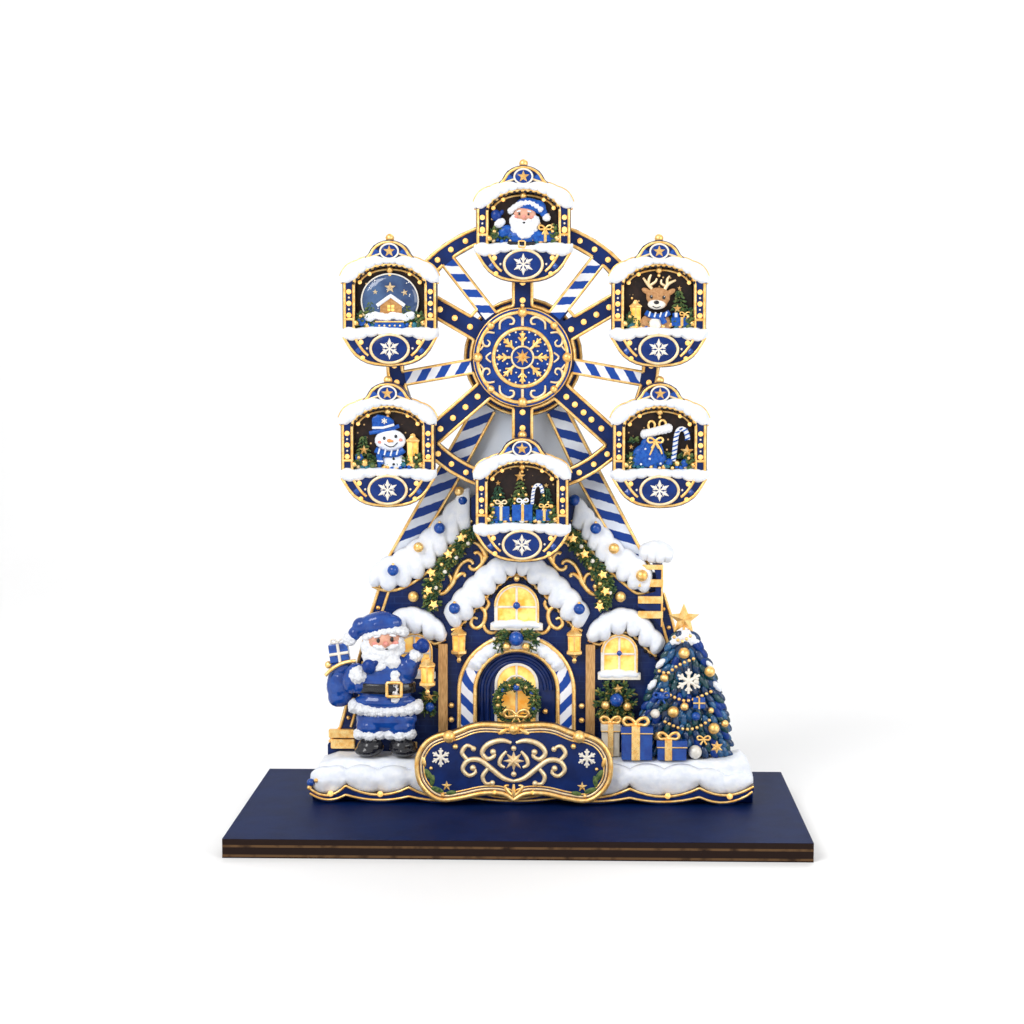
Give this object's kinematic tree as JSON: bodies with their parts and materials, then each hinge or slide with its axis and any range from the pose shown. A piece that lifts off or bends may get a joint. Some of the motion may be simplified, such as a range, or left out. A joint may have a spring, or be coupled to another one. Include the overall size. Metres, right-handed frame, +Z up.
{
  "type": "ferris wheel decoration",
  "caption": "Layered plywood ferris wheel ornament with hanging gondolas in front of a snowy gabled house, a tree and a waving gift-bringer on a flat board.",
  "frame": {"origin": "middle of the base board's underside", "axes": "+X to the right, +Y to the back (the decorated front faces -Y), +Z up"},
  "size_m": [0.182, 0.1, 0.2175],
  "materials": {
    "navy_wood": "navy blue lacquer on plywood with gold edges",
    "pale_wood": "pale grey-blue paint on plywood",
    "stripe_wood": "blue and white candy stripe with gold edges on plywood",
    "brown_wood": "stained and varnished wood",
    "snow": "satin white cast relief",
    "gold_cast": "gold paint on cast relief",
    "blue_cast": "glossy blue painted figure",
    "tree_cast": "glossy blue-green painted cast tree",
    "green_cast": "dark green painted cast foliage",
    "window_cast": "cream frame round warm yellow panes",
    "scene_cast": "painted cast scene on a dark card",
    "steel": "plain steel"
  },
  "bodies": {
    "stand": {"base_board": "navy_wood", "tower_panel": "pale_wood", "leg_left": "stripe_wood", "leg_right": "stripe_wood", "rear_hub_disc": "navy_wood", "house_front": "navy_wood", "roof_snow_left": "snow", "roof_snow_right": "snow", "gable_snow": "snow", "wing_snow_left": "snow", "wing_snow_right": "snow", "chimney": "navy_wood", "chimney_snow": "snow", "gable_window": "window_cast", "wing_window_left": "window_cast", "wing_window_right": "window_cast", "door_arch": "stripe_wood", "door": "navy_wood", "door_wreath": "green_cast", "wall_lantern_left": "gold_cast", "wall_lantern_right": "gold_cast", "hand_lantern": "gold_cast", "wall_post_left": "brown_wood", "wall_post_right": "brown_wood", "garland_left": "green_cast", "garland_right": "green_cast", "wing_greenery": "green_cast", "plinth": "navy_wood", "snow_bank": "snow", "sign_plaque": "navy_wood", "santa_figure": "blue_cast", "tree": "tree_cast", "tree_star": "gold_cast", "gift_large": "blue_cast", "gift_small": "blue_cast", "gift_rear": "gold_cast", "axle_screw": "steel", "axle_spacer": "steel", "axle_nut": "steel"},
    "wheel": {"wheel_frame": "navy_wood", "hub_medallion": "gold_cast", "pin_top": "steel", "pin_upper_left": "steel", "pin_upper_right": "steel", "pin_lower_left": "steel", "pin_lower_right": "steel", "pin_bottom": "steel"},
    "gondola_top": {"gondola_top": "navy_wood", "scene_waving_santa": "scene_cast"},
    "gondola_upper_left": {"gondola_upper_left": "navy_wood", "scene_snow_globe": "scene_cast"},
    "gondola_upper_right": {"gondola_upper_right": "navy_wood", "scene_reindeer": "scene_cast"},
    "gondola_lower_left": {"gondola_lower_left": "navy_wood", "scene_snowman": "scene_cast"},
    "gondola_lower_right": {"gondola_lower_right": "navy_wood", "scene_gift_sack": "scene_cast"},
    "gondola_bottom": {"gondola_bottom": "navy_wood", "scene_trees": "scene_cast"}
  },
  "joints": [
    {"name": "wheel_spin", "type": "hinge", "parent": "stand", "child": "wheel", "pos_m": [0.0003, 0.0105, 0.1533], "axis": [0, 1, 0], "continuous": true},
    {"name": "swing_top", "type": "hinge", "parent": "wheel", "child": "gondola_top", "pos_m": [0.0007, 0.008, 0.2034], "axis": [0, 1, 0], "continuous": true},
    {"name": "swing_upper_left", "type": "hinge", "parent": "wheel", "child": "gondola_upper_left", "pos_m": [-0.0429, 0.008, 0.1761], "axis": [0, 1, 0], "continuous": true},
    {"name": "swing_upper_right", "type": "hinge", "parent": "wheel", "child": "gondola_upper_right", "pos_m": [0.0447, 0.008, 0.1759], "axis": [0, 1, 0], "continuous": true},
    {"name": "swing_lower_left", "type": "hinge", "parent": "wheel", "child": "gondola_lower_left", "pos_m": [-0.0438, 0.008, 0.1299], "axis": [0, 1, 0], "continuous": true},
    {"name": "swing_lower_right", "type": "hinge", "parent": "wheel", "child": "gondola_lower_right", "pos_m": [0.0453, 0.008, 0.1299], "axis": [0, 1, 0], "continuous": true},
    {"name": "swing_bottom", "type": "hinge", "parent": "wheel", "child": "gondola_bottom", "pos_m": [0.0003, 0.008, 0.11], "axis": [0, 1, 0], "continuous": true}
  ],
  "couplings": [
    {"joint": "swing_top", "follows": "wheel_spin", "ratio": -1},
    {"joint": "swing_upper_left", "follows": "wheel_spin", "ratio": -1},
    {"joint": "swing_upper_right", "follows": "wheel_spin", "ratio": -1},
    {"joint": "swing_lower_left", "follows": "wheel_spin", "ratio": -1},
    {"joint": "swing_lower_right", "follows": "wheel_spin", "ratio": -1},
    {"joint": "swing_bottom", "follows": "wheel_spin", "ratio": -1}
  ]
}
